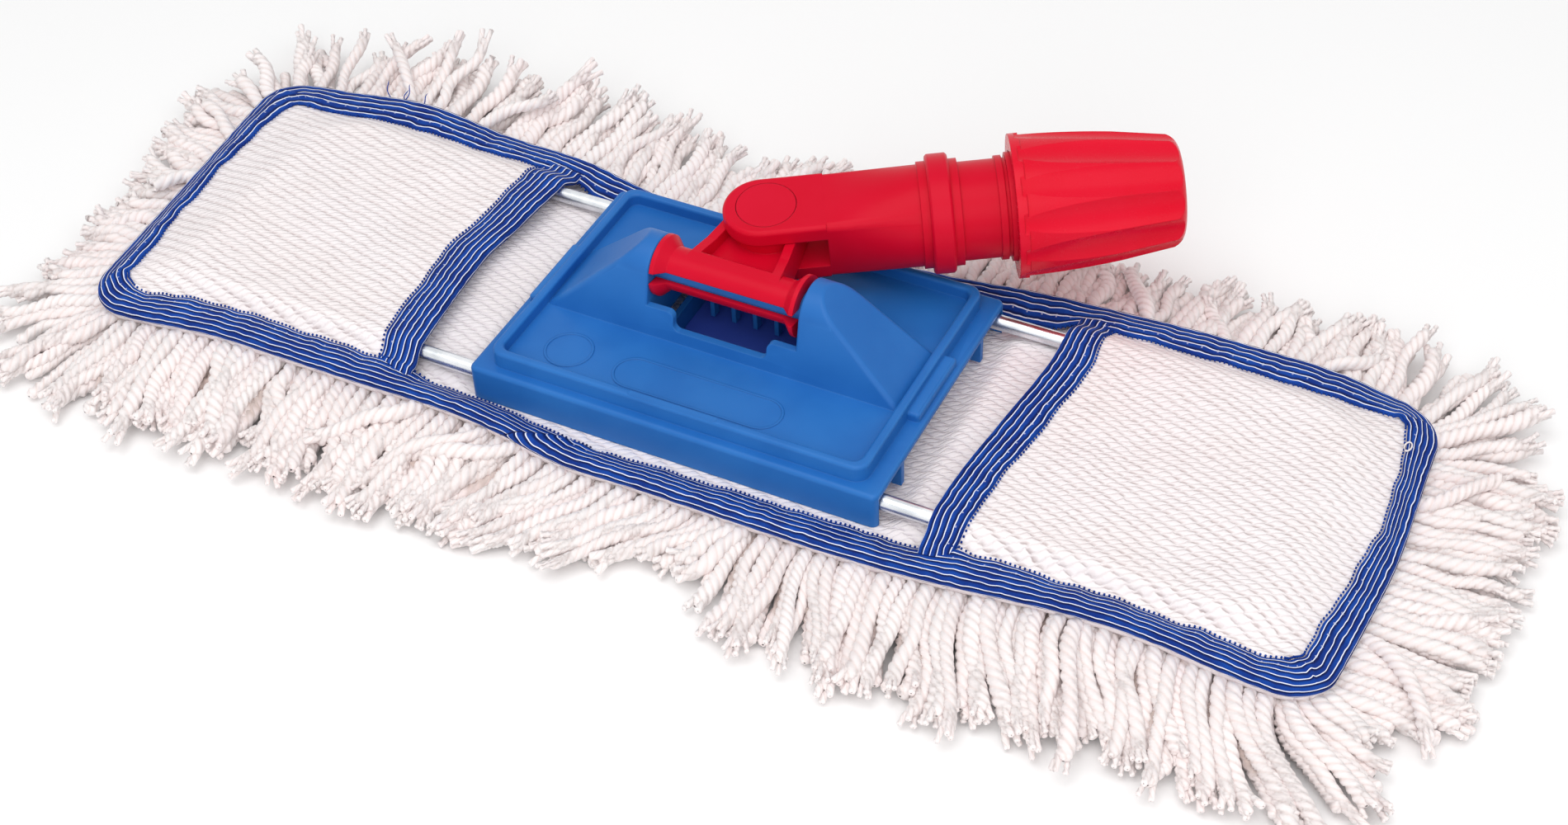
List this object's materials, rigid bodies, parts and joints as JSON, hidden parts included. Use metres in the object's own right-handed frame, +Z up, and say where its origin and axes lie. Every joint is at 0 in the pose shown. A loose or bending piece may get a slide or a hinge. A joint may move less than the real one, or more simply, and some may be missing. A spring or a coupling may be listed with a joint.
{
  "type": "dust mop",
  "caption": "Flat dust mop: moulded plate on bent wire bows inside a bound, fringed yarn pad with strap pockets, and a two-axis swivel socket with a clamp nut for the handle.",
  "frame": {"origin": "on the floor, under the middle of the pad's footprint", "axes": "+X along the mop, +Y across it towards the side the handle lies on at rest, +Z up"},
  "size_m": [0.5276, 0.216, 0.0793],
  "materials": {
    "blue_plastic": "satin moulded polypropylene",
    "red_plastic": "satin moulded polypropylene",
    "zinc_wire": "bright zinc plated wire",
    "cotton_cloth": "raw cotton twill",
    "binding_tape": "woven tape with pale pinstripes",
    "cotton_yarn": "twisted cotton yarn"
  },
  "bodies": {
    "base": {"base_plate": "blue_plastic", "well_floor": "blue_plastic", "wire_bow_left": "zinc_wire", "wire_bow_right": "zinc_wire", "pad_backing": "cotton_cloth", "edge_binding": "binding_tape", "pocket_panel_left": "cotton_cloth", "pocket_panel_right": "cotton_cloth", "pocket_strap_left": "binding_tape", "pocket_strap_right": "binding_tape", "fringe_front": "cotton_yarn", "fringe_back": "cotton_yarn", "fringe_left": "cotton_yarn", "fringe_right": "cotton_yarn", "yarn_row_1": "cotton_yarn", "yarn_row_2": "cotton_yarn", "yarn_row_3": "cotton_yarn", "yarn_row_4": "cotton_yarn", "yarn_row_5": "cotton_yarn"},
    "yoke": {"swivel_yoke": "red_plastic"},
    "socket": {"handle_socket": "red_plastic", "knuckle_pin": "red_plastic"},
    "nut": {"clamp_nut": "red_plastic"}
  },
  "joints": [
    {"name": "yoke_tilt", "type": "hinge", "parent": "base", "child": "yoke", "pos_m": [0, 0, 0.0458], "axis": [1, 0, 0], "range_deg": [0, 164.4]},
    {"name": "socket_swing", "type": "hinge", "parent": "yoke", "child": "socket", "pos_m": [-0.0009, 0.02655, 0.04944], "axis": [0, -0.1357, 0.9907], "range_deg": [-18.7, 141.3]},
    {"name": "nut_turn", "type": "hinge", "parent": "socket", "child": "nut", "pos_m": [-0.0009, 0.02655, 0.04944], "axis": [0.8771, 0.4758, 0.0652], "range_deg": [-180, 540]}
  ]
}
